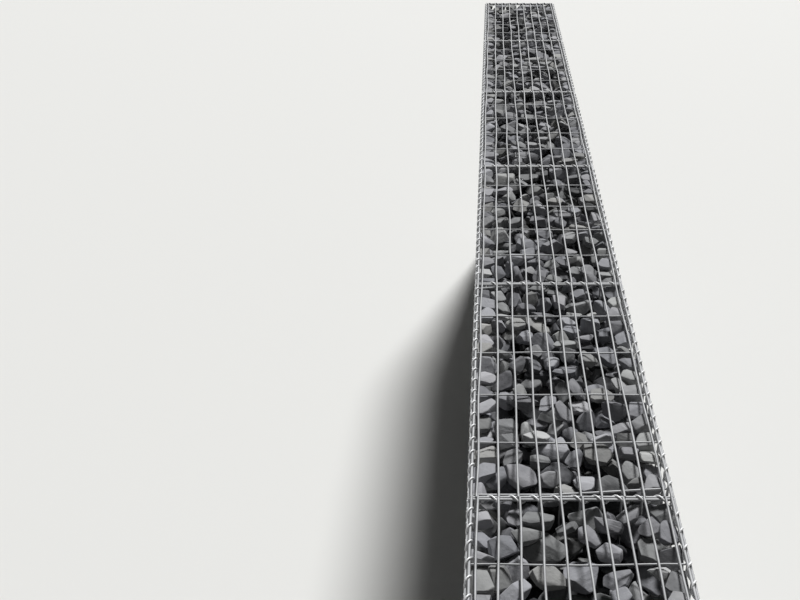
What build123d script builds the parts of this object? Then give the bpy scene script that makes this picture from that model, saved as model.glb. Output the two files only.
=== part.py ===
"""Gabion wall: six welded-mesh cages of stones set end to end and closed with spiral binders.

Millimetres. The wall runs along Y, with its front face at -X and its back face at +X.
The origin is on the ground, under the middle of the wall.
"""

import os
from math import cos, radians, sin, sqrt

from build123d import *

# Driving sizes of the wall
bay_count = 6
bay_length = 1000
wall_height = 2000
core_width = 480

# Welded mesh: close wires outside, wide ones across them inside
wire = 5
close_pitch = 50
wide_pitch = 200
panel_clearance = 0.3

# Spiral binders, each turn drawn as a few straight steps
spiral_wire = 3
spiral_pitch = 100
turn_steps = 8
edge_spiral_radius = 11.2
base_spiral_radius = 9
joint_spiral_radius = 13

# Middle lines of the upright spirals: out from the core, and in from the wall's end
joint_outset = 4
corner_outset = 3
corner_inset = 3.25

# Where each spiral starts on its turn, so that it passes between the wires
lid_spiral_angle = 321
base_spiral_angle = 220
cross_spiral_angle = 180
upright_spiral_angle = 0

# Stones, one block for each cage, cut back at its edges to leave room for the spirals
stone_clearance = 0.3
stone_corner = 20

# Derived places
mesh = 2 * wire
joint_gap = 2 * panel_clearance
wall_end = bay_count * bay_length / 2
panel_length = bay_length - joint_gap
lid_width = core_width + 2 * wire
cross_width = core_width - 2 * panel_clearance
spiral_half_diagonal = spiral_wire / sqrt(2)
base_level = base_spiral_radius + spiral_half_diagonal - mesh - panel_clearance / 2
side_bottom = base_level + mesh + panel_clearance
side_top = wall_height - mesh - panel_clearance
side_height = side_top - side_bottom
side_middle = (side_top + side_bottom) / 2
bay_centres = [bay_length * (i + 0.5) - wall_end for i in range(bay_count)]
joints = [bay_length * (i + 1) - wall_end for i in range(bay_count - 1)]
diaphragm_near = -wire / 2
diaphragm_far = diaphragm_near + mesh


def mesh_panel(plane, across, along):
    """A panel whose inner face is on the plane, with its close wires along the plane's Y."""
    close_count = round(across / close_pitch)
    wide_count = round(along / wide_pitch) - 1
    with BuildPart() as panel:
        with BuildSketch(plane):
            with GridLocations(0, wide_pitch, 1, wide_count):
                Rectangle(across, wire)
            with GridLocations(0, along - wire, 1, 2):
                Rectangle(across, wire)
        extrude(amount=wire)
        with BuildSketch(plane.offset(wire)):
            with GridLocations(close_pitch, 0, close_count, 1):
                Rectangle(wire, along)
            with GridLocations(across - wire, 0, 2, 1):
                Rectangle(wire, along)
        extrude(amount=wire)
    return panel.part


def spiral(plane, radius, length, start_angle):
    """A square-section wire wound about the plane's Z axis, from the plane up."""
    step_count = round(length / spiral_pitch * turn_steps)
    rise = length / step_count
    turn = 360 / turn_steps
    angles = [radians(start_angle + turn * i) for i in range(step_count + 1)]
    points = [(radius * cos(a), radius * sin(a), rise * i) for i, a in enumerate(angles)]
    with BuildPart() as binder:
        with BuildLine(plane) as path:
            Polyline(*points)
        with BuildSketch(Plane(origin=path.line @ 0, z_dir=path.line % 0)):
            Rectangle(spiral_wire, spiral_wire)
        sweep(transition=Transition.RIGHT)
    return binder.part


def write(part, name):
    """Label a finished piece and write its file."""
    part.label = name
    export_step(part, f"parts/{name}.step", write_pcurves=False)


os.makedirs("parts", exist_ok=True)

# Mesh of the first cage, which the others repeat
first = bay_centres[0]
front_plane = Plane((-core_width / 2, first, side_middle), x_dir=(0, -1, 0), z_dir=(-1, 0, 0))
back_plane = Plane((core_width / 2, first, side_middle), x_dir=(0, 1, 0), z_dir=(1, 0, 0))
first_front = mesh_panel(front_plane, panel_length, side_height)
first_back = mesh_panel(back_plane, panel_length, side_height)
first_lid = mesh_panel(Plane((0, first, wall_height - mesh)), lid_width, panel_length)
first_base = mesh_panel(Plane((0, first, base_level)), lid_width, panel_length)

# Panels of every cage
for i in range(bay_count):
    along = Location((0, bay_length * i, 0))
    write(first_front.moved(along), f"front_mesh_{i + 1}")
    write(first_back.moved(along), f"back_mesh_{i + 1}")
    write(first_lid.moved(along), f"lid_mesh_{i + 1}")
    write(first_base.moved(along), f"base_mesh_{i + 1}")

# End panels, with their uprights outside
near_plane = Plane((0, mesh - wall_end, side_middle), x_dir=(1, 0, 0), z_dir=(0, -1, 0))
far_plane = Plane((0, wall_end - mesh, side_middle), x_dir=(-1, 0, 0), z_dir=(0, 1, 0))
near_end = mesh_panel(near_plane, cross_width, side_height)
far_end = mesh_panel(far_plane, cross_width, side_height)
write(near_end, "end_mesh_near")
write(far_end, "end_mesh_far")

# Diaphragms, with their uprights in the middle of each joint
for i, joint in enumerate(joints):
    to_joint = Location((0, joint + diaphragm_near + wall_end, 0))
    write(near_end.moved(to_joint), f"diaphragm_{i + 1}")

# Stones, as one solid block in each cage
block_starts = [mesh - wall_end] + [joint + diaphragm_far for joint in joints]
block_ends = [joint + diaphragm_near for joint in joints] + [wall_end - mesh]
block_bottom = base_level + mesh + stone_clearance
block_height = wall_height - mesh - stone_clearance - block_bottom
for i, (start, end) in enumerate(zip(block_starts, block_ends)):
    with BuildPart() as stone_fill:
        with BuildSketch(Plane((0, (start + end) / 2, block_bottom))):
            Rectangle(core_width - 2 * stone_clearance, end - start - 2 * stone_clearance)
        extrude(amount=block_height)
        chamfer(stone_fill.edges(), stone_corner)
    write(stone_fill.part, f"stone_fill_{i + 1}")

# Spirals along the top edges, round the lid's edge wire and the top wire of the side
edge_offset = core_width / 2 + wire / 2
edge_run = (round(bay_length / close_pitch) - 1) * close_pitch
lid_edge_level = wall_height - mesh + wire / 2 - panel_clearance / 2
edge_start = bay_centres[0] + edge_run / 2
lid_edge_plane = Plane((-edge_offset, edge_start, lid_edge_level), x_dir=(1, 0, 0), z_dir=(0, -1, 0))
lid_edge_spiral = spiral(lid_edge_plane, edge_spiral_radius, edge_run, lid_spiral_angle)
with BuildPart() as lid_spirals_front:
    with Locations(*[(0, bay_length * i, 0) for i in range(bay_count)]):
        add(lid_edge_spiral)
write(lid_spirals_front.part, "lid_spirals_front")
with BuildPart() as lid_spirals_back:
    add(lid_spirals_front.part.rotate(Axis.Z, 180))
write(lid_spirals_back.part, "lid_spirals_back")

# Spirals along the bottom edges
base_edge_level = base_level + mesh + panel_clearance / 2
base_edge_plane = Plane((-edge_offset, edge_start, base_edge_level), x_dir=(1, 0, 0), z_dir=(0, -1, 0))
base_edge_spiral = spiral(base_edge_plane, base_spiral_radius, edge_run, base_spiral_angle)
with BuildPart() as base_spirals_front:
    with Locations(*[(0, bay_length * i, 0) for i in range(bay_count)]):
        add(base_edge_spiral)
write(base_spirals_front.part, "base_spirals_front")
with BuildPart() as base_spirals_back:
    add(base_spirals_front.part.rotate(Axis.Z, 180))
write(base_spirals_back.part, "base_spirals_back")

# Spirals across the lid: one at each joint, and one at each end of the wall
cross_run = (round(lid_width / close_pitch) - 1) * close_pitch
cross_level = wall_height - mesh - panel_clearance / 2
end_inset = (mesh + panel_clearance + wire / 2) / 2
joint_plane = Plane((-cross_run / 2, joints[0], cross_level), x_dir=(0, 1, 0), z_dir=(1, 0, 0))
end_plane = Plane((-cross_run / 2, end_inset - wall_end, cross_level), x_dir=(0, 1, 0), z_dir=(1, 0, 0))
joint_spiral = spiral(joint_plane, joint_spiral_radius, cross_run, cross_spiral_angle)
end_spiral = spiral(end_plane, edge_spiral_radius, cross_run, cross_spiral_angle)
with BuildPart() as lid_spirals_cross:
    with Locations(*[(0, joint - joints[0], 0) for joint in joints]):
        add(joint_spiral)
    add(end_spiral)
    add(end_spiral.rotate(Axis.Z, 180))
write(lid_spirals_cross.part, "lid_spirals_cross")

# Upright spirals at the joints and the corners
upright_run = side_height // spiral_pitch * spiral_pitch
upright_foot = side_middle - upright_run / 2
joint_foot = Plane((-core_width / 2 - joint_outset, joints[0], upright_foot))
corner_foot = Plane((-core_width / 2 - corner_outset, corner_inset - wall_end, upright_foot))
joint_upright = spiral(joint_foot, joint_spiral_radius, upright_run, upright_spiral_angle)
corner_upright = spiral(corner_foot, joint_spiral_radius, upright_run, upright_spiral_angle)
with BuildPart() as upright_spirals_front:
    with Locations(*[(0, joint - joints[0], 0) for joint in joints]):
        add(joint_upright)
    add(corner_upright)
    add(mirror(corner_upright, about=Plane.XZ, mode=Mode.PRIVATE))
write(upright_spirals_front.part, "upright_spirals_front")
with BuildPart() as upright_spirals_back:
    add(upright_spirals_front.part.rotate(Axis.Z, 180))
write(upright_spirals_back.part, "upright_spirals_back")
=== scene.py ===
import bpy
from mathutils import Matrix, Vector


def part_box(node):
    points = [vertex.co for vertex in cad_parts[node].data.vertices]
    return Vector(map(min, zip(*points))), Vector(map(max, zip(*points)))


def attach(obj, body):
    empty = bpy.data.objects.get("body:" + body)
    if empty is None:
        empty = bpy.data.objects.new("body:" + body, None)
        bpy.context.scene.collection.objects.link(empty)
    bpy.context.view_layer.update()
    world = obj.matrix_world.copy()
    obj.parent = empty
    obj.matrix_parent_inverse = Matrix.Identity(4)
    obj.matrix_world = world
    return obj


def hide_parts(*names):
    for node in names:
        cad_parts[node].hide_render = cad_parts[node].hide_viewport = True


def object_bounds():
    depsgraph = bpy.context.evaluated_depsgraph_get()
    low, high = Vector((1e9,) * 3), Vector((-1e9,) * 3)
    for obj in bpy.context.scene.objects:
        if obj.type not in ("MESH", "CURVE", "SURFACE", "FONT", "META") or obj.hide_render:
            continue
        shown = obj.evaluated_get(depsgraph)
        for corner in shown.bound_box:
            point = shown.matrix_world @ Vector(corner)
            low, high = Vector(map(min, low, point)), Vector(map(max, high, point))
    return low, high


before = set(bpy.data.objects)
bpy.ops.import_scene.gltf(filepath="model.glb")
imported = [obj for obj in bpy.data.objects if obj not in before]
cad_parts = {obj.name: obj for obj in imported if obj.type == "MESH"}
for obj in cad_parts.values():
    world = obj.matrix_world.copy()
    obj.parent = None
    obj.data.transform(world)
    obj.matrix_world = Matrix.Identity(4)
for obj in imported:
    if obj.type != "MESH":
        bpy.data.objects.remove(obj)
cadBox = [list(corner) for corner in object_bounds()]

import random
from math import cos, pi, radians, sin

import bmesh
import bpy
from mathutils import Matrix, Vector, kdtree

# The wall runs along Y, and its front face looks towards -X. Metres.
x, y, z = range(3)
bayCount = 6
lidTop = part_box("lid_mesh_1")[1].z
groundLevel = cadBox[0][2]


# Camera, above the near end and looking down along the lid

cameraSetup = {
    "place": (-0.185, -3.499, lidTop + 1.485),
    "pitch": 31.9,          # degrees below level
    "lens": 38.8,
    "sensorWidth": 36,
    "shiftX": -0.1175,      # the wall's vanishing line stands right of the frame's middle
    "clipEnd": 200,
}


def addCamera():
    data = bpy.data.cameras.new("camera")
    data.lens = cameraSetup["lens"]
    data.sensor_width = cameraSetup["sensorWidth"]
    data.shift_x = cameraSetup["shiftX"]
    data.clip_end = cameraSetup["clipEnd"]
    camera = bpy.data.objects.new("camera", data)
    camera.location = cameraSetup["place"]
    camera.rotation_euler = (radians(90 - cameraSetup["pitch"]), 0, 0)
    bpy.context.scene.collection.objects.link(camera)
    bpy.context.scene.camera = camera


addCamera()


# Node helpers for the materials

def newMaterial(name):
    material = bpy.data.materials.new(name)
    material.use_nodes = True
    nodes = material.node_tree.nodes
    return material, nodes, material.node_tree.links, nodes["Principled BSDF"]


def addNode(nodes, kind, inputs=None, **settings):
    node = nodes.new(kind)
    for key, value in settings.items():
        setattr(node, key, value)
    for key, value in (inputs or {}).items():
        node.inputs[key].default_value = value
    return node


def addRamp(nodes, stops):
    ramp = nodes.new("ShaderNodeValToRGB")
    elements = ramp.color_ramp.elements
    while len(elements) < len(stops):
        elements.new(0.5)
    for element, (position, colour) in zip(elements, stops):
        element.position = position
        element.color = (*colour, 1)
    return ramp


def addBump(nodes, relief):
    strength, distance = relief
    return addNode(nodes, "ShaderNodeBump", {"Strength": strength, "Distance": distance})


# Zinc: dull galvanised wire with a fine spangle and darker weathered patches

zincFinish = {
    "mesh": {"dark": (0.27, 0.275, 0.28), "light": (0.39, 0.395, 0.405), "roughness": 0.6},
    "spiral": {"dark": (0.60, 0.605, 0.61), "light": (0.80, 0.805, 0.815), "roughness": 0.5},
    "metallic": 0.2,
    "patchScale": 14,
    "patchRange": (0.35, 0.6),      # of the noise, from the dark tone to the light one
    "spangleScale": 900,
    "spangleShare": 0.3,            # of the tone, beside the patches
    "spangleRelief": (0.12, 0.0003),
}


def zincMaterial(name, look):
    material, nodes, links, shader = newMaterial(name)
    place = addNode(nodes, "ShaderNodeTexCoord")
    patches = addNode(nodes, "ShaderNodeTexNoise", {"Scale": zincFinish["patchScale"], "Detail": 4})
    spangle = addNode(nodes, "ShaderNodeTexNoise", {"Scale": zincFinish["spangleScale"], "Detail": 2})
    blend = addNode(nodes, "ShaderNodeMix", {"Factor": zincFinish["spangleShare"]}, data_type="FLOAT")
    darkest, lightest = zincFinish["patchRange"]
    ramp = addRamp(nodes, [(darkest, look["dark"]), (lightest, look["light"])])
    bump = addBump(nodes, zincFinish["spangleRelief"])
    links.new(place.outputs["Object"], patches.inputs["Vector"])
    links.new(place.outputs["Object"], spangle.inputs["Vector"])
    links.new(patches.outputs["Fac"], blend.inputs[2])
    links.new(spangle.outputs["Fac"], blend.inputs[3])
    links.new(blend.outputs[0], ramp.inputs["Fac"])
    links.new(ramp.outputs["Color"], shader.inputs["Base Color"])
    links.new(spangle.outputs["Fac"], bump.inputs["Height"])
    links.new(bump.outputs["Normal"], shader.inputs["Normal"])
    shader.inputs["Metallic"].default_value = zincFinish["metallic"]
    shader.inputs["Roughness"].default_value = look["roughness"]
    return material


# Slate: each stone has its own tone and tint, thin beds across it and paler broken edges; stones deep in the
# fill get a darker tone as painted shade

slateFinish = {
    "tones": [(0.0, (0.035, 0.036, 0.038)), (0.2, (0.16, 0.162, 0.167)), (0.5, (0.27, 0.273, 0.28)),
              (1.0, (0.42, 0.422, 0.425))],
    "tints": [(0.0, (0.97, 0.98, 1.03)), (0.45, (1.0, 0.99, 1.02)), (0.8, (0.99, 1.0, 0.98)),
              (1.0, (1.02, 1.0, 0.95))],
    "edgeColour": (0.4, 0.4, 0.4),
    "mottleScale": 26,
    "mottleShift": 0.5,     # how far the mottling shifts a stone's tone
    "mottleRelief": (0.6, 0.006),
    "grainScale": 170,
    "grainRelief": (0.5, 0.0016),
    "bedScale": 260,        # beds to the metre, across the slab
    "bedWaver": 14,         # how often they change along it
    "bedShift": 0.25,
    "bedRelief": (0.5, 0.0025),
    "roughness": 0.82,
    "specular": 0.2,
}


def slateMaterial(name):
    material, nodes, links, shader = newMaterial(name)
    place = addNode(nodes, "ShaderNodeTexCoord")
    tone = addNode(nodes, "ShaderNodeAttribute", attribute_name="tone")
    tint = addNode(nodes, "ShaderNodeAttribute", attribute_name="tint")
    edge = addNode(nodes, "ShaderNodeAttribute", attribute_name="edge")
    bed = addNode(nodes, "ShaderNodeAttribute", attribute_name="bed")
    mottle = addNode(nodes, "ShaderNodeTexNoise", {"Scale": slateFinish["mottleScale"], "Detail": 6})
    grain = addNode(nodes, "ShaderNodeTexNoise", {"Scale": slateFinish["grainScale"], "Detail": 5})
    waver = slateFinish["bedWaver"]
    stretch = addNode(nodes, "ShaderNodeMapping", {"Scale": (waver, waver, slateFinish["bedScale"])})
    beds = addNode(nodes, "ShaderNodeTexNoise", {"Scale": 1.0, "Detail": 3})
    links.new(place.outputs["Object"], mottle.inputs["Vector"])
    links.new(place.outputs["Object"], grain.inputs["Vector"])
    links.new(bed.outputs["Vector"], stretch.inputs["Vector"])
    links.new(stretch.outputs["Vector"], beds.inputs["Vector"])

    # tone of the stone, shifted by the mottling and the beds
    mottleShift, bedShift = slateFinish["mottleShift"], slateFinish["bedShift"]
    mottled = addNode(nodes, "ShaderNodeMath", {1: mottleShift}, operation="MULTIPLY_ADD")
    banded = addNode(nodes, "ShaderNodeMath", {1: bedShift}, operation="MULTIPLY_ADD")
    centred = addNode(nodes, "ShaderNodeMath", {1: (mottleShift + bedShift) / 2}, operation="SUBTRACT")
    links.new(mottle.outputs["Fac"], mottled.inputs[0])
    links.new(tone.outputs["Fac"], mottled.inputs[2])
    links.new(beds.outputs["Fac"], banded.inputs[0])
    links.new(mottled.outputs[0], banded.inputs[2])
    links.new(banded.outputs[0], centred.inputs[0])
    toneRamp = addRamp(nodes, slateFinish["tones"])
    tintRamp = addRamp(nodes, slateFinish["tints"])
    links.new(centred.outputs[0], toneRamp.inputs["Fac"])
    links.new(tint.outputs["Fac"], tintRamp.inputs["Fac"])
    tinted = addNode(nodes, "ShaderNodeMix", {"Factor": 1.0}, data_type="RGBA", blend_type="MULTIPLY")
    links.new(toneRamp.outputs["Color"], tinted.inputs[6])
    links.new(tintRamp.outputs["Color"], tinted.inputs[7])
    worn = addNode(nodes, "ShaderNodeMix", {7: (*slateFinish["edgeColour"], 1)}, data_type="RGBA")
    wear = addNode(nodes, "ShaderNodeMath", operation="MULTIPLY")
    links.new(edge.outputs["Fac"], wear.inputs[0])
    links.new(grain.outputs["Fac"], wear.inputs[1])
    links.new(wear.outputs[0], worn.inputs["Factor"])
    links.new(tinted.outputs[2], worn.inputs[6])
    links.new(worn.outputs[2], shader.inputs["Base Color"])

    # relief: coarse unevenness, grain, and beds that show on the broken sides
    coarse = addBump(nodes, slateFinish["mottleRelief"])
    fine = addBump(nodes, slateFinish["grainRelief"])
    bedded = addBump(nodes, slateFinish["bedRelief"])
    links.new(mottle.outputs["Fac"], coarse.inputs["Height"])
    links.new(grain.outputs["Fac"], fine.inputs["Height"])
    links.new(beds.outputs["Fac"], bedded.inputs["Height"])
    links.new(coarse.outputs["Normal"], fine.inputs["Normal"])
    links.new(fine.outputs["Normal"], bedded.inputs["Normal"])
    links.new(bedded.outputs["Normal"], shader.inputs["Normal"])
    shader.inputs["Roughness"].default_value = slateFinish["roughness"]
    shader.inputs["Specular IOR Level"].default_value = slateFinish["specular"]
    return material


zincMesh = zincMaterial("zincMesh", zincFinish["mesh"])
zincSpiral = zincMaterial("zincSpiral", zincFinish["spiral"])
slate = slateMaterial("slate")
print("materials ready")


# Every finished piece rides on the wall's one body

def addPiece(name, mesh, material, slot, *nodes):
    mesh.materials.clear()
    mesh.materials.append(material)
    piece = bpy.data.objects.new(name, mesh)
    bpy.context.scene.collection.objects.link(piece)
    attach(piece, "root")
    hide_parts(*nodes)
    return piece


# Many round wires as one mesh, each with its list of places and its share of the thickness

def wireMesh(name, routes, thickness, rings):
    curve = bpy.data.curves.new(name, "CURVE")
    curve.dimensions = "3D"
    curve.bevel_depth = thickness / 2
    curve.bevel_resolution = rings
    curve.use_fill_caps = True
    for route, factor in routes:
        line = curve.splines.new("POLY")
        line.points.add(len(route) - 1)
        for point, place in zip(line.points, route):
            point.co = (*place, 1)
            point.radius = factor
        line.use_smooth = True
    holder = bpy.data.objects.new(name, curve)
    bpy.context.scene.collection.objects.link(holder)
    mesh = bpy.data.meshes.new_from_object(holder.evaluated_get(bpy.context.evaluated_depsgraph_get()))
    bpy.data.objects.remove(holder)
    return mesh


# Welded panels: close wires on the outside, wide ones across them on the inside

panelWires = {
    "thickness": 0.0059,
    "crosswise": 0.82,      # thickness of the wide wires and of the edge wires, beside the others
    "edge": 1.04,
    "lidEdge": 1.26,
    "lidEdgeInset": {x: 0.0030, y: 0.0009},     # long edge wires, and end wires
    "lidEdgeDrop": 0.0007,
    "sideTopOutset": 0.0042,    # the top wire of each long side
    "layer": 0.005,         # each of the panel's two layers of wires
    "closePitch": 0.05,
    "widePitch": 0.2,
    "lidStep": 0.05,        # between the points of one wire
    "sideStep": 0.2,
    "diaphragmStep": 0.1,
    "sway": 0.0019,         # how far a wire waves in the panel's plane
    "swayShare": (0.5, 1.2),
    "edgeSway": 0.3,
    "wave": (0.35, 0.8),    # length of a wave
    "stray": 0.6,           # how far off its place a wire is welded, as a share of the sway
    "lift": 0.0004,         # how far it waves through the panel
    "liftWaves": 1.7,
    "rings": 1,
}

# Tops of diaphragms that the stones have pushed over: how far, at two places across the wall
pushed = {
    "diaphragm_1": ((-0.05, 0.014), (0.24, 0.036)),
    "diaphragm_2": ((-0.24, -0.030), (-0.07, 0)),
}
pushedDepth = 0.3           # below the lid, where a pushed panel stands straight again


def pushAt(node, place):
    if node not in pushed:
        return 0
    (start, first), (end, last) = pushed[node]
    part = min(1, max(0, (place.x - start) / (end - start)))
    rise = max(0, 1 - (lidTop - place.z) / pushedDepth)
    return (first + (last - first) * part) * rise ** 2


def wireOffsets(run, pitch, count):
    half = (run - panelWires["layer"]) / 2
    inner = [(i - (count - 1) / 2) * pitch for i in range(count)]
    return [-half] + inner + [half]


def panelRoutes(node, thin, across, along, outward, step):
    low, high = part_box(node)
    middle = (low + high) / 2
    size = high - low
    draw = random.Random(node)
    stray = panelWires["stray"]
    sides = [
        (wireOffsets(size[across], panelWires["closePitch"], round(size[across] / panelWires["closePitch"])),
         across, along, outward),
        (wireOffsets(size[along], panelWires["widePitch"], round(size[along] / panelWires["widePitch"]) - 1),
         along, across, -outward),
    ]
    routes = []
    for offsets, side, run, level in sides:
        for i, offset in enumerate(offsets):
            isEdge = i in (0, len(offsets) - 1)
            phase = draw.uniform(0, 2 * pi)
            wave = draw.uniform(*panelWires["wave"])
            share = panelWires["edgeSway"] if isEdge else draw.uniform(*panelWires["swayShare"])
            sway = panelWires["sway"] * share
            shift = 0 if isEdge else draw.uniform(-stray, stray) * panelWires["sway"]
            kind = "edge" if isEdge else "crosswise" if side == along else None
            lift = level * panelWires["layer"] / 2
            if isEdge and node.startswith("lid"):
                kind = "lidEdge"
                shift -= panelWires["lidEdgeInset"][side] * (1 if offset > 0 else -1)
                lift -= panelWires["lidEdgeDrop"] if side == x else 0
            if isEdge and thin == x and side == z and offset > 0:
                lift += panelWires["sideTopOutset"] * outward
            count = max(2, round(size[run] / step))
            route = []
            for k in range(count + 1):
                part = k / count
                turn = phase + 2 * pi * part * size[run] / wave
                place = middle.copy()
                place[run] += (part - 0.5) * size[run]
                place[side] += offset + shift + sway * sin(turn)
                place[thin] += lift + panelWires["lift"] * sin(panelWires["liftWaves"] * turn)
                place.y += pushAt(node, place)
                route.append(place)
            routes.append((route, panelWires.get(kind, 1)))
    return routes


def addPanels(name, nodes, thin, across, along, outward, step):
    routes = []
    for node in nodes:
        routes += panelRoutes(node, thin, across, along, outward, step)
    mesh = wireMesh(name, routes, panelWires["thickness"], panelWires["rings"])
    addPiece(name, mesh, zincMesh, "galvanised_mesh", *nodes)
    print(name, "with", len(routes), "wires and", len(mesh.polygons), "faces")


def bays(stem):
    return [f"{stem}_{i + 1}" for i in range(bayCount)]


addPanels("lid_wires", bays("lid_mesh"), z, x, y, 1, panelWires["lidStep"])
addPanels("base_wires", bays("base_mesh"), z, x, y, 1, panelWires["sideStep"])
addPanels("front_wires", bays("front_mesh"), x, y, z, -1, panelWires["sideStep"])
addPanels("back_wires", bays("back_mesh"), x, y, z, 1, panelWires["sideStep"])
addPanels("near_wires", ["end_mesh_near"], y, x, z, -1, panelWires["sideStep"])
addPanels("far_wires", ["end_mesh_far"], y, x, z, 1, panelWires["sideStep"])
addPanels("diaphragm_wires", [f"diaphragm_{i + 1}" for i in range(bayCount - 1)], y, x, z, -1,
          panelWires["diaphragmStep"])


# Spiral binders, wound round the edge wires that they hold together. Side and level give a
# spiral's middle line, oval its half width and half height, and angle where its turn starts.

spiralWires = {
    "thickness": 0.0050,
    "pitch": 0.05,          # a turn between each two close wires
    "steps": 10,            # points to a turn
    "rings": 1,
    "lid": {"side": 0.2418, "level": -0.00765, "oval": (0.0068, 0.0103), "angle": 321},
    "base": {"side": 0.2430, "level": 0.01112, "oval": (0.0066, 0.0086), "angle": 220},
    "cross": {"level": -0.01015, "run": 0.45, "joint": (0.0094, 0.0086), "end": (0.0098, 0.0082),
              "inset": 0.0064, "angle": 180},
    "upright": {"joint": (0.0066, 0.0085), "jointSide": 0.2445,
                "corner": (0.0070, 0.0070), "cornerSide": 0.2435, "inset": 0.00325, "angle": 0},
}


def spiralRoute(start, u, v, way, length, oval, angle, hand=1):
    count = round(length / spiralWires["pitch"] * spiralWires["steps"])
    route = []
    for i in range(count + 1):
        turn = radians(angle) + hand * 2 * pi * i / spiralWires["steps"]
        rise = length * i / count
        route.append(start + u * oval[0] * cos(turn) + v * oval[1] * sin(turn) + way * rise)
    return route, 1


def addSpirals(name, node, routes):
    mesh = wireMesh(name, routes, spiralWires["thickness"], spiralWires["rings"])
    addPiece(name, mesh, zincSpiral, "galvanised_spiral", node)
    print(name, "with", len(routes), "spirals and", len(mesh.polygons), "faces")


eastward = Vector((1, 0, 0))
onward = Vector((0, 1, 0))
upward = Vector((0, 0, 1))
bayMiddles = [sum(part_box(node), Vector()).y / 2 for node in bays("lid_mesh")]
bayJoints = [(a + b) / 2 for a, b in zip(bayMiddles, bayMiddles[1:])]
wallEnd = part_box(f"lid_mesh_{bayCount}")[1].y
sideLow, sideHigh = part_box("front_mesh_1")
edgeRun = (round((sideHigh.y - sideLow.y) / panelWires["closePitch"]) - 1) * panelWires["closePitch"]


def edgeSpirals(side, level, look):
    routes = []
    for middle in bayMiddles:
        start = Vector((side * look["side"], middle - side * edgeRun / 2, level))
        routes.append(spiralRoute(start, -side * eastward, upward, side * onward, edgeRun,
                                  look["oval"], look["angle"]))
    return routes


def crossSpirals(look):
    level = lidTop + look["level"]
    routes = []
    for joint in bayJoints:
        start = Vector((-look["run"] / 2, joint, level))
        routes.append(spiralRoute(start, onward, upward, eastward, look["run"], look["joint"], look["angle"]))
    for side in (-1, 1):
        start = Vector((side * look["run"] / 2, side * (wallEnd - look["inset"]), level))
        routes.append(spiralRoute(start, -side * onward, upward, -side * eastward, look["run"],
                                  look["end"], look["angle"]))
    return routes


def uprightSpirals(side, look):
    run = (sideHigh.z - sideLow.z) // spiralWires["pitch"] * spiralWires["pitch"]
    foot = (sideHigh.z + sideLow.z - run) / 2
    routes = []
    for joint in bayJoints:
        start = Vector((side * look["jointSide"], joint, foot))
        routes.append(spiralRoute(start, -side * eastward, -side * onward, upward, run,
                                  look["joint"], look["angle"]))
    for end in (-1, 1):
        start = Vector((side * look["cornerSide"], end * (wallEnd - look["inset"]), foot))
        routes.append(spiralRoute(start, -side * eastward, -side * onward, upward, run,
                                  look["corner"], look["angle"], hand=end * side))
    return routes


lidEdge, baseEdge = spiralWires["lid"], spiralWires["base"]
addSpirals("lid_binders_front", "lid_spirals_front", edgeSpirals(-1, lidTop + lidEdge["level"], lidEdge))
addSpirals("lid_binders_back", "lid_spirals_back", edgeSpirals(1, lidTop + lidEdge["level"], lidEdge))
addSpirals("base_binders_front", "base_spirals_front", edgeSpirals(-1, baseEdge["level"], baseEdge))
addSpirals("base_binders_back", "base_spirals_back", edgeSpirals(1, baseEdge["level"], baseEdge))
addSpirals("cross_binders", "lid_spirals_cross", crossSpirals(spiralWires["cross"]))
addSpirals("upright_binders_front", "upright_spirals_front", uprightSpirals(-1, spiralWires["upright"]))
addSpirals("upright_binders_back", "upright_spirals_back", uprightSpirals(1, spiralWires["upright"]))


# Stones: broken slabs, parted from their neighbours by shared planes, so that they lie close
# without passing through one another, over a rough core that closes the view between them
# and is painted near black as shade

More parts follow.
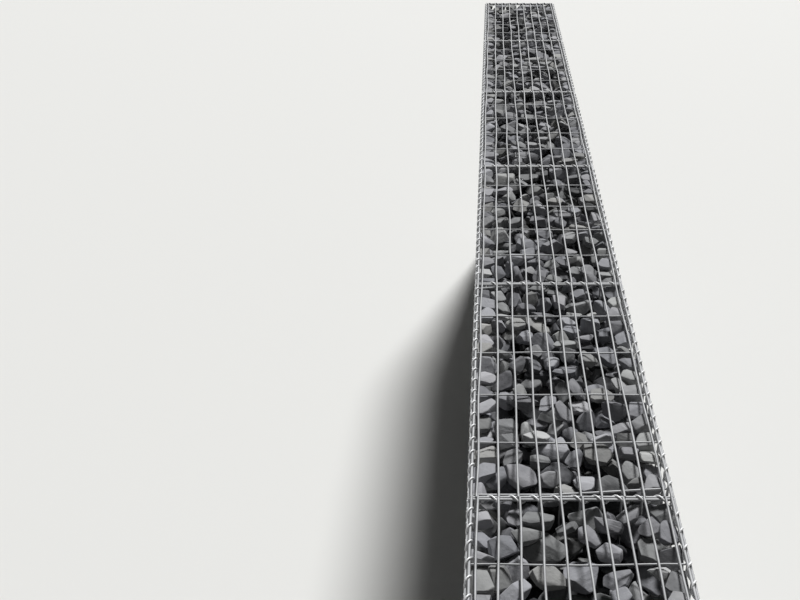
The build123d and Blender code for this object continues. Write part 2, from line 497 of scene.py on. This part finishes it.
stoneBed = {
    "top": {
        "shell": 0.115,     # how deep there are single stones
        "spacing": 0.050,   # least distance between the middles of two stones of size 1
        "halfLong": (0.036, 0.056),
        "halfWide": (0.024, 0.036),
        "halfThick": (0.010, 0.019),
        "lean": 0.6,
        "missing": 0.2,     # share of the stones left out, as hollows
    },
    "side": {
        "shell": 0.05,
        "spacing": 0.078,
        "halfLong": (0.050, 0.070),
        "halfWide": (0.040, 0.052),
        "halfThick": (0.023, 0.034),
        "lean": 0.25,
        "missing": 0.03,
    },
    "rim": {                # laid first, along the lid's edges and up the wall's corners
        "step": 0.064,
        "rise": 0.058,
        "inset": (0.016, 0.026),
        "depth": {x: (0.013, 0.030), y: (0.013, 0.022)},
        "along": (0.33, 0.67),      # where in its step, and in its rise, a stone lies
        "up": (0.3, 0.7),
        "size": (0.86, 1.1),
        "lean": 0.5,
        "swell": {x: 1.12, y: 1.7},     # cut so much fuller than their spacing asks
        "cornerSwell": 1.7,
    },
    "flatness": 1.6,        # stones lie this much closer one above the other
    "seed": 40,             # of the first bay
    "tries": 60000,         # for each bay
    "solid": {x: 0.05, y: 0.15},    # how far in from the sides no stone is left out
    "largest": 1.45,        # size of the first stones
    "smallest": 0.86,       # and of the last, in the gaps between them
    "fade": 20,             # how soon the sizes fall
    "inset": 0.019,         # from a stone's middle to the mesh
    "sides": (4, 6),        # broken round a slab
    "sideJitter": 0.28,     # how unevenly they are spread
    "sideReach": (0.72, 1.0),
    "sideTilt": 0.45,
    "capReach": (0.75, 1),  # its two faces
    "capTilt": 0.28,
    "reach": 0.15,          # how far a stone looks for its neighbours and the mesh
    "gap": (0.0004, 0.003), # from a stone to the plane that parts it from the next
    "bend": 0.2,            # how far such a plane leans
    "skinTilt": 0.1,        # faces along the mesh
    "skinInset": 0.005,
    "bevel": (0.002, 0.006),
    "weld": 0.006,          # corners nearer than this become one
    "sliver": 0.0005,       # and shorter edges go
    "normalWeight": 80,
    "bedSpread": 9,         # how far apart two stones' beds may start
    "tone": (0.57, 0.19),   # middle and spread
    "shadeFall": 0.46,       # painted shade: how much darker the stones at the bottom of the top layer are, so the hollows read dark
    "coreCuts": 12,
    "coreRough": 0.014,
    "coreInset": 0.012,     # below the single stones
    # near black: painted shade on the core, deep between the stones
    "coreShade": 0.0,
    "coreTint": 0.5,
}


def flattened(place):
    return Vector((place.x, place.y, place.z * stoneBed["flatness"]))


def kindOf(place, high):
    return stoneBed["top" if high.z - place.z < stoneBed["top"]["shell"] else "side"]


def isInShell(place, low, high, faces):
    for axis, sign in faces:
        shell = stoneBed["top" if axis == z else "side"]["shell"]
        if abs(place[axis] - (high if sign > 0 else low)[axis]) < shell:
            return True
    return False


# Away from the sides, where a missing stone would open a view right through the corner

def isInside(place, low, high, faces):
    return all(abs(place[axis] - (high if sign > 0 else low)[axis]) > stoneBed["solid"][axis]
               for axis, sign in faces if axis != z)


def rimPlaces(low, high, faces, draw):
    rim = stoneBed["rim"]
    places = []
    for axis, sign in faces:
        if axis == z:
            continue
        run = y if axis == x else x
        count = round((high[run] - low[run]) / rim["step"])
        for i in range(count):
            place = Vector((0, 0, high.z - draw.uniform(*rim["depth"][axis])))
            place[axis] = (high if sign > 0 else low)[axis] - sign * draw.uniform(*rim["inset"])
            place[run] = low[run] + (i + draw.uniform(*rim["along"])) * (high[run] - low[run]) / count
            places.append((place, draw.uniform(*rim["size"]), rim["swell"][axis]))
    count = round((high.z - low.z) / rim["rise"])
    for end in [sign for axis, sign in faces if axis == y]:
        for side in (-1, 1):
            for i in range(count):
                place = Vector()
                place.z = low.z + (i + draw.uniform(*rim["up"])) * (high.z - low.z) / count
                place.x = (high if side > 0 else low).x - side * draw.uniform(*rim["inset"])
                place.y = (high if end > 0 else low).y - end * draw.uniform(*rim["inset"])
                places.append((place, stoneBed["smallest"], rim["cornerSwell"]))
    return places


# Middles and sizes of the stones, and how much fuller than their spacing they are cut

def scatter(low, high, faces, draw):
    cell = stoneBed["side"]["spacing"] * stoneBed["largest"]
    inset = stoneBed["inset"]
    grid = {}
    middles, sizes, swells = [], [], []
    rim = rimPlaces(low, high, faces, draw)
    for i in range(stoneBed["tries"]):
        if i < len(rim):
            place, size, swell = rim[i]
        else:
            swell = 1
            place = Vector([draw.uniform(low[a] + inset, high[a] - inset) for a in range(3)])
            if not isInShell(place, low, high, faces):
                continue
            fade = (1 - i / stoneBed["tries"]) ** stoneBed["fade"]
            size = stoneBed["smallest"] + (stoneBed["largest"] - stoneBed["smallest"]) * fade
        flat = flattened(place)
        spacing = kindOf(place, high)["spacing"] / 2
        key = tuple(int(c // cell) for c in flat)
        near = [p for dx in (-1, 0, 1) for dy in (-1, 0, 1) for dz in (-1, 0, 1)
                for p in grid.get((key[0] + dx, key[1] + dy, key[2] + dz), ())]
        if any((other - flat).length < spacing * (size + theirs) for other, theirs in near):
            continue
        grid.setdefault(key, []).append((flat, size))
        middles.append(place)
        sizes.append(size)
        swells.append(swell)
    return middles, sizes, swells


def sliceStone(stone, through, outward):
    if not any((v.co - through).dot(outward) > 0 for v in stone.verts):
        return
    cut = bmesh.ops.bisect_plane(stone, geom=stone.verts[:] + stone.edges[:] + stone.faces[:],
                                 plane_co=through, plane_no=outward, clear_outer=True)
    rim = [e for e in cut["geom_cut"] if isinstance(e, bmesh.types.BMEdge)]
    bmesh.ops.holes_fill(stone, edges=rim, sides=0)


def randomTurn(draw, lean):
    spin = Matrix.Rotation(draw.uniform(0, 2 * pi), 3, "Z")
    angle = draw.gauss(0, lean)
    axis = Vector((draw.uniform(-1, 1), draw.uniform(-1, 1), 0.001))    # never quite zero
    return Matrix.Rotation(angle, 3, axis) @ spin


# A slab with an uneven outline and two faces that are not quite level, cut to its place

def shapeStone(middle, turn, halves, cuts, draw):
    stone = bmesh.new()
    bmesh.ops.create_cube(stone, size=2, matrix=Matrix.Diagonal((*halves, 1)))
    count = draw.randint(*stoneBed["sides"])
    start = draw.uniform(0, 2 * pi)
    jitter = stoneBed["sideJitter"]
    for i in range(count):
        turned = start + 2 * pi * (i + draw.uniform(-jitter, jitter)) / count
        way = Vector((cos(turned), sin(turned), draw.uniform(-1, 1) * stoneBed["sideTilt"]))
        reach = Vector((way.x * halves[0], way.y * halves[1])).length
        sliceStone(stone, way * reach * draw.uniform(*stoneBed["sideReach"]) / way.length_squared, way)
    for sign in (-1, 1):
        way = Vector((draw.gauss(0, 1) * stoneBed["capTilt"], draw.gauss(0, 1) * stoneBed["capTilt"], sign))
        sliceStone(stone, Vector((0, 0, sign * halves[2] * draw.uniform(*stoneBed["capReach"]))), way)
    bmesh.ops.transform(stone, matrix=Matrix.Translation(middle) @ turn.to_4x4(), verts=stone.verts)
    for through, outward in cuts:
        sliceStone(stone, through, outward)
    return stone


# The plane between two stones leans as their flat cells do, and both stones use the same one

def partingCuts(i, middles, sizes, tree, parting, draw):
    cuts = []
    for _, j, _ in tree.find_range(flattened(middles[i]), stoneBed["reach"]):
        if j == i:
            continue
        a, b = min(i, j), max(i, j)
        if (a, b) not in parting:
            across = middles[b] - middles[a]
            across.z *= stoneBed["flatness"] ** 2
            bend = Vector([draw.uniform(-1, 1) * stoneBed["bend"] for _ in range(3)])
            through = middles[a].lerp(middles[b], sizes[a] / (sizes[a] + sizes[b]))
            outward = (across.normalized() + bend).normalized()
            parting[a, b] = (through, outward, draw.uniform(*stoneBed["gap"]))
        through, outward, gap = parting[a, b]
        if i == b:
            outward = -outward
        cuts.append((through - outward * gap, outward))
    return cuts


# Where a diaphragm's top is pushed into this bay, its stones stop short of it

def pushedCuts(index, low, high):
    cuts = []
    for side, number in ((-1, index), (1, index + 1)):
        if f"diaphragm_{number}" not in pushed:
            continue
        (start, first), (end, last) = pushed[f"diaphragm_{number}"]
        if first * side < 0:
            wall = (low if side < 0 else high).y
            nearest = min((first, last), key=abs)
            slope = (last - first) / (end - start)
            cuts.append((Vector((0, wall + nearest, 0)), Vector((0, side, 0))))
            cuts.append((Vector((start, wall + first, 0)), Vector((-slope * side, side, 0)).normalized()))
    return cuts


def skinCuts(middle, low, high, faces, draw):
    cuts = []
    for axis in range(3):
        for sign in (-1, 1):
            wall = (high if sign > 0 else low)[axis]
            if abs(wall - middle[axis]) > stoneBed["reach"]:
                continue
            outward = Vector()
            outward[axis] = sign
            through = middle.copy()
            through[axis] = wall
            if (axis, sign) in faces:
                tilt = Vector([draw.uniform(-1, 1) * stoneBed["skinTilt"] for _ in range(3)])
                inset = draw.random() ** 2 * stoneBed["skinInset"]
                cuts.append((through - outward * inset, (outward + tilt).normalized()))
            cuts.append((through, outward))
    return cuts


# Marks for the slate: tone and tint of the stone, its worn edges, and a place across its beds

def markStone(stone, edges, tone, tint, toBed):
    toneLayer = stone.faces.layers.float.new("tone")
    tintLayer = stone.faces.layers.float.new("tint")
    edgeLayer = stone.faces.layers.float.new("edge")
    bedLayer = stone.verts.layers.float_vector.new("bed")
    for face in stone.faces:
        face[toneLayer] = tone
        face[tintLayer] = tint
        face[edgeLayer] = 1 if face in edges else 0
    for vert in stone.verts:
        vert[bedLayer] = toBed @ vert.co


def softenStone(stone, draw):
    soft = bmesh.ops.bevel(stone, geom=stone.edges, offset=draw.uniform(*stoneBed["bevel"]),
                           offset_type="OFFSET", affect="EDGES", segments=1, profile=0.5,
                           clamp_overlap=True, material=-1)
    for face in stone.faces:
        face.smooth = True
    return {face for face in soft["faces"] if face.is_valid}


def addCore(heap, scratch, low, high, faces, draw):
    lowest, highest = low.copy(), high.copy()
    for axis, sign in faces:
        inset = stoneBed["top" if axis == z else "side"]["shell"] + stoneBed["coreInset"]
        if sign > 0:
            highest[axis] -= inset
        else:
            lowest[axis] += inset
    middle = (lowest + highest) / 2
    shape = Matrix.Translation(middle) @ Matrix.Diagonal((*(highest - lowest), 1))
    core = bmesh.new()
    bmesh.ops.create_cube(core, size=1, matrix=shape)
    bmesh.ops.subdivide_edges(core, edges=core.edges, cuts=stoneBed["coreCuts"], use_grid_fill=True)
    for vert in core.verts:
        for axis in range(3):
            inward = 1 if middle[axis] > vert.co[axis] else -1
            vert.co[axis] += draw.uniform(0, 2) * stoneBed["coreRough"] * inward
    # The core takes the darkest tone, near black: painted shade deep between the stones
    markStone(core, (), stoneBed["coreShade"], stoneBed["coreTint"], Matrix())
    core.to_mesh(scratch)
    core.free()
    heap.from_mesh(scratch)


def neighbourTree(middles):
    tree = kdtree.KDTree(len(middles))
    for i, middle in enumerate(middles):
        tree.insert(flattened(middle), i)
    tree.balance()
    return tree


def addStones(name, heap, node):
    bmesh.ops.recalc_face_normals(heap, faces=heap.faces)
    mesh = bpy.data.meshes.new(name)
    heap.to_mesh(mesh)
    heap.free()
    piece = addPiece(name, mesh, slate, "slate_stone", node)
    flatten = piece.modifiers.new("flatten", "WEIGHTED_NORMAL")
    flatten.weight = stoneBed["normalWeight"]
    flatten.keep_sharp = False
    return sum(len(p.vertices) - 2 for p in mesh.polygons)


def fillBay(index):
    draw = random.Random(stoneBed["seed"] + index)
    node = f"stone_fill_{index + 1}"
    low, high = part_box(node)
    faces = [(x, -1), (x, 1), (z, 1)]
    if index == 0:
        faces.append((y, -1))
    if index == bayCount - 1:
        faces.append((y, 1))
    middles, sizes, swells = scatter(low, high, faces, draw)
    besidePushed = pushedCuts(index, low, high)
    tree = neighbourTree(middles)
    parting = {}
    spread = stoneBed["bedSpread"]
    heap = bmesh.new()
    scratch = bpy.data.meshes.new("scratch")
    addCore(heap, scratch, low, high, faces, draw)
    for i, middle in enumerate(middles):
        kind = kindOf(middle, high)
        turn = randomTurn(draw, (stoneBed["rim"] if swells[i] > 1 else kind)["lean"])
        scale = sizes[i] * swells[i]
        halves = [draw.uniform(*kind[key]) * scale for key in ("halfLong", "halfWide", "halfThick")]
        cuts = partingCuts(i, middles, sizes, tree, parting, draw) + skinCuts(middle, low, high, faces, draw)
        if high.z - middle.z < pushedDepth:
            cuts += besidePushed
        # Stones deep in the top layer, away from the sides, get a darker tone: painted shade in the hollows
        # between stones
        depth = min(1, (high.z - middle.z) / stoneBed["top"]["shell"])
        paintedShade = stoneBed["shadeFall"] * depth if isInside(middle, low, high, faces) else 0
        tone = min(1, max(0, draw.gauss(*stoneBed["tone"]) - paintedShade))
        tint = draw.random()
        toBed = Matrix.Translation([draw.uniform(0, spread) for _ in range(3)]) @ turn.inverted().to_4x4()
        if draw.random() < kind["missing"] and isInside(middle, low, high, faces):
            continue
        stone = shapeStone(middle, turn, halves, cuts, draw)
        bmesh.ops.remove_doubles(stone, verts=stone.verts, dist=stoneBed["weld"])
        bmesh.ops.dissolve_degenerate(stone, edges=stone.edges, dist=stoneBed["sliver"])
        if not stone.faces:
            stone.free()
            continue
        edges = softenStone(stone, draw)
        markStone(stone, edges, tone, tint, toBed)
        stone.to_mesh(scratch)
        heap.from_mesh(scratch)
        stone.free()
    bpy.data.meshes.remove(scratch)
    triangles = addStones(f"stones_{index + 1}", heap, node)
    print("bay", index + 1, "has", len(middles), "stones and", triangles, "triangles")


for bay in range(bayCount):
    fillBay(bay)


# Floor, light and sky

studio = {
    "floorSize": 60,
    "floorColour": (0.76, 0.76, 0.74),
    "floorRoughness": 0.9,
    "sunPlace": (0.25, 0.9, 0.9),
    "sunEnergy": 4.5,
    "sunAngle": 12,
    "sky": 0.04,                        # light on the wall from all round
    "backdrop": (0.86, 0.86, 0.84),     # what the camera and the zinc see behind the floor
}


def addFloor():
    material, *_, shader = newMaterial("floor")
    shader.inputs["Base Color"].default_value = (*studio["floorColour"], 1)
    shader.inputs["Roughness"].default_value = studio["floorRoughness"]
    sheet = bmesh.new()
    bmesh.ops.create_grid(sheet, x_segments=1, y_segments=1, size=studio["floorSize"])
    bmesh.ops.translate(sheet, vec=(0, 0, groundLevel), verts=sheet.verts)
    mesh = bpy.data.meshes.new("floor")
    sheet.to_mesh(mesh)
    sheet.free()
    mesh.materials.append(material)
    floor = bpy.data.objects.new("floor", mesh)
    bpy.context.scene.collection.objects.link(floor)


def addLight():
    data = bpy.data.lights.new("sun", "SUN")
    data.energy = studio["sunEnergy"]
    data.angle = radians(studio["sunAngle"])
    sun = bpy.data.objects.new("sun", data)
    sun.rotation_euler = Vector(studio["sunPlace"]).to_track_quat("Z", "Y").to_euler()
    bpy.context.scene.collection.objects.link(sun)


def addSky():
    world = bpy.data.worlds.new("sky")
    world.use_nodes = True
    nodes, links = world.node_tree.nodes, world.node_tree.links
    light = nodes["Background"]
    light.inputs["Color"].default_value = (1, 1, 1, 1)
    light.inputs["Strength"].default_value = studio["sky"]
    backdrop = addNode(nodes, "ShaderNodeBackground", {"Color": (*studio["backdrop"], 1), "Strength": 1.0})
    rays = addNode(nodes, "ShaderNodeLightPath")
    direct = addNode(nodes, "ShaderNodeMath", operation="MAXIMUM")
    seen = addNode(nodes, "ShaderNodeMath", operation="MAXIMUM")
    choice = addNode(nodes, "ShaderNodeMixShader")
    links.new(rays.outputs["Is Camera Ray"], direct.inputs[0])
    links.new(rays.outputs["Is Glossy Ray"], direct.inputs[1])
    links.new(direct.outputs[0], seen.inputs[0])
    links.new(rays.outputs["Is Transmission Ray"], seen.inputs[1])
    links.new(seen.outputs[0], choice.inputs["Fac"])
    links.new(light.outputs["Background"], choice.inputs[1])
    links.new(backdrop.outputs["Background"], choice.inputs[2])
    links.new(choice.outputs["Shader"], nodes["World Output"].inputs["Surface"])
    bpy.context.scene.world = world


addFloor()
addLight()
addSky()
bpy.context.scene.view_settings.view_transform = "Standard"
print("floor, light and sky ready")
